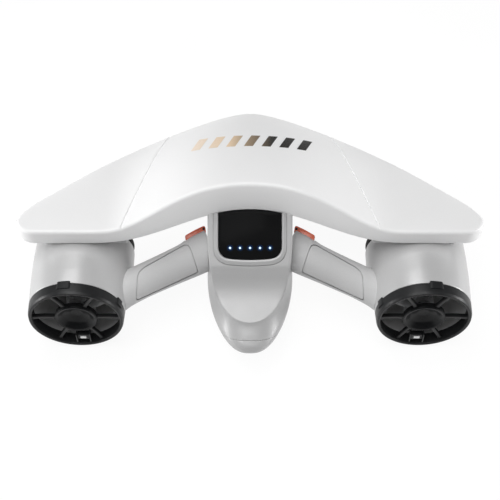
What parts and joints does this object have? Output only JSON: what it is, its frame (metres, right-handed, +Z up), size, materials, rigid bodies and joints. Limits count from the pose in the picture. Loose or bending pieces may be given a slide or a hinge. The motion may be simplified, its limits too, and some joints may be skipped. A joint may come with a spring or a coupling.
{
  "type": "underwater scooter",
  "caption": "Twin-thruster underwater scooter: swept buoyancy float over a central hull with a display, a trigger handle and a ducted propeller on each side.",
  "frame": {"origin": "bottom centre of the bounding box: midway across and along, at the keel's flat rest face", "axes": "+X to the rider's right along the float's span, +Y forward in the direction of travel, +Z up"},
  "size_m": [0.4776, 0.281, 0.1602],
  "materials": {
    "white_plastic": "pearl white gloss paint on moulded ABS",
    "silver_plastic": "light silver satin moulded ABS",
    "black_plastic": "black satin glass-filled nylon",
    "blade_plastic": "dark grey satin nylon",
    "red_plastic": "orange-red moulded plastic",
    "foam": "closed-cell buoyancy foam",
    "steel": "stainless steel",
    "motor_metal": "motor case with windings inside",
    "brass": "plain brass",
    "display_glass": "black glossy display window",
    "light_guide": "blue light guide",
    "circuit_board": "coated circuit board",
    "battery_case": "dark battery case with cells inside",
    "seal_rubber": "silicone rubber"
  },
  "bodies": {
    "hull": {"float_shell": "white_plastic", "hull_housing": "white_plastic", "float_base_plate": "silver_plastic", "keel_cover": "silver_plastic", "camera_mount": "silver_plastic", "display_bezel": "silver_plastic", "float_foam_core": "foam", "float_screw_right": "steel", "float_screw_left": "steel", "keel_screw_1": "steel", "keel_screw_2": "steel", "keel_screw_3": "steel", "keel_screw_4": "steel", "camera_mount_insert": "brass", "battery_contacts": "brass", "display_glass": "display_glass", "display_screen": "black_plastic", "battery_bay": "black_plastic", "indicator_light_guide": "light_guide", "control_board": "circuit_board", "right_pod_housing": "white_plastic", "right_grip_frame": "white_plastic", "right_grip_cover": "silver_plastic", "right_rear_guard": "black_plastic", "right_front_guard": "black_plastic", "right_stator_frame": "black_plastic", "right_motor_cover": "black_plastic", "right_trigger_sensor": "black_plastic", "right_motor": "motor_metal", "right_shaft_bearing": "steel", "right_trigger_pin": "steel", "right_trigger_spring": "steel", "right_shaft_seal": "seal_rubber", "left_pod_housing": "white_plastic", "left_grip_frame": "white_plastic", "left_grip_cover": "silver_plastic", "left_rear_guard": "black_plastic", "left_front_guard": "black_plastic", "left_stator_frame": "black_plastic", "left_motor_cover": "black_plastic", "left_trigger_sensor": "black_plastic", "left_motor": "motor_metal", "left_shaft_bearing": "steel", "left_trigger_pin": "steel", "left_trigger_spring": "steel", "left_shaft_seal": "seal_rubber"},
    "right_rotor": {"right_propeller": "blade_plastic", "right_motor_shaft": "steel", "right_propeller_nut": "steel"},
    "right_trigger_lever": {"right_trigger": "red_plastic"},
    "left_rotor": {"left_propeller": "blade_plastic", "left_motor_shaft": "steel", "left_propeller_nut": "steel"},
    "left_trigger_lever": {"left_trigger": "red_plastic"},
    "battery_cartridge": {"battery_pack": "battery_case", "battery_cap": "silver_plastic", "battery_seal": "seal_rubber"}
  },
  "joints": [
    {"name": "right_propeller_spin", "type": "hinge", "parent": "hull", "child": "right_rotor", "pos_m": [0.179, -0.0815, 0.052], "axis": [0, 1, 0], "continuous": true},
    {"name": "right_trigger_pull", "type": "hinge", "parent": "hull", "child": "right_trigger_lever", "pos_m": [0.05172, -0.02159, 0.07565], "axis": [0.0943, 0.513, -0.8532], "range_deg": [0, 9], "stiffness_Nm_per_rad": 0.6, "springref_deg": -14.32},
    {"name": "left_propeller_spin", "type": "hinge", "parent": "hull", "child": "left_rotor", "pos_m": [-0.179, -0.0815, 0.052], "axis": [0, 1, 0], "continuous": true},
    {"name": "left_trigger_pull", "type": "hinge", "parent": "hull", "child": "left_trigger_lever", "pos_m": [-0.05172, -0.02159, 0.07565], "axis": [0.0943, -0.513, 0.8532], "range_deg": [0, 9], "stiffness_Nm_per_rad": 0.6, "springref_deg": -14.32},
    {"name": "battery_slide", "type": "slide", "parent": "hull", "child": "battery_cartridge", "axis": [0, -1, 0], "range_m": [0, 0.15]}
  ]
}
